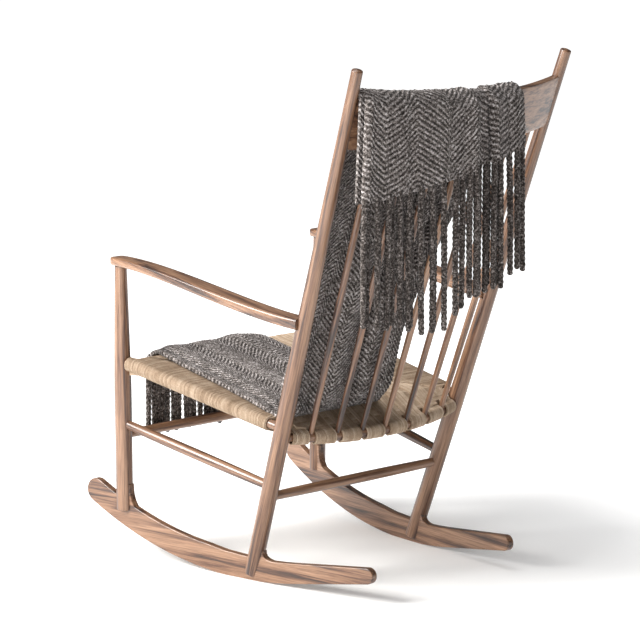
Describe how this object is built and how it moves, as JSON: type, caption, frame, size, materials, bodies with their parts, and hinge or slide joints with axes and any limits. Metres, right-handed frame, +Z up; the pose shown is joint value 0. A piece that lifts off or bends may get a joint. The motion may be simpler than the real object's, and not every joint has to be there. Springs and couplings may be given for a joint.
{
  "type": "rocking chair",
  "caption": "Wooden spindle-back rocking chair with armrests, bowed rockers and a woven cord seat, with a chunky fringed throw hung over its back.",
  "frame": {"origin": "on the floor, under the middle of the whole object's box", "axes": "+Z up, +X to the sitter's left, -Y the way the sitter faces"},
  "size_m": [0.613, 0.852, 1.0674],
  "materials": {
    "walnut": "oiled satin",
    "paper_cord": "matte twisted paper cord",
    "wool": "matte marled chunky yarn"
  },
  "bodies": {
    "chair": {"rocker_left": "walnut", "rocker_right": "walnut", "front_leg_left": "walnut", "front_leg_right": "walnut", "rear_post_left": "walnut", "rear_post_right": "walnut", "armrest_left": "walnut", "armrest_right": "walnut", "side_stretcher_left": "walnut", "side_stretcher_right": "walnut", "seat_side_rail_left": "walnut", "seat_side_rail_right": "walnut", "front_stretcher": "walnut", "rear_stretcher": "walnut", "seat_front_rail": "walnut", "seat_back_rail": "walnut", "crest_rail": "walnut", "spindle_1": "walnut", "spindle_2": "walnut", "spindle_3": "walnut", "spindle_4": "walnut", "spindle_5": "walnut", "spindle_6": "walnut", "spindle_7": "walnut", "woven_seat": "paper_cord"},
    "throw": {"throw_top_fold": "wool", "throw_back_panel": "wool", "throw_back_fringe": "wool", "throw_front_drop": "wool", "throw_seat_run": "wool", "throw_front_fringe": "wool"}
  },
  "joints": [
    {"name": "throw_lift", "type": "slide", "parent": "chair", "child": "throw", "axis": [0, 0, 1], "range_m": [0, 0.75]}
  ]
}
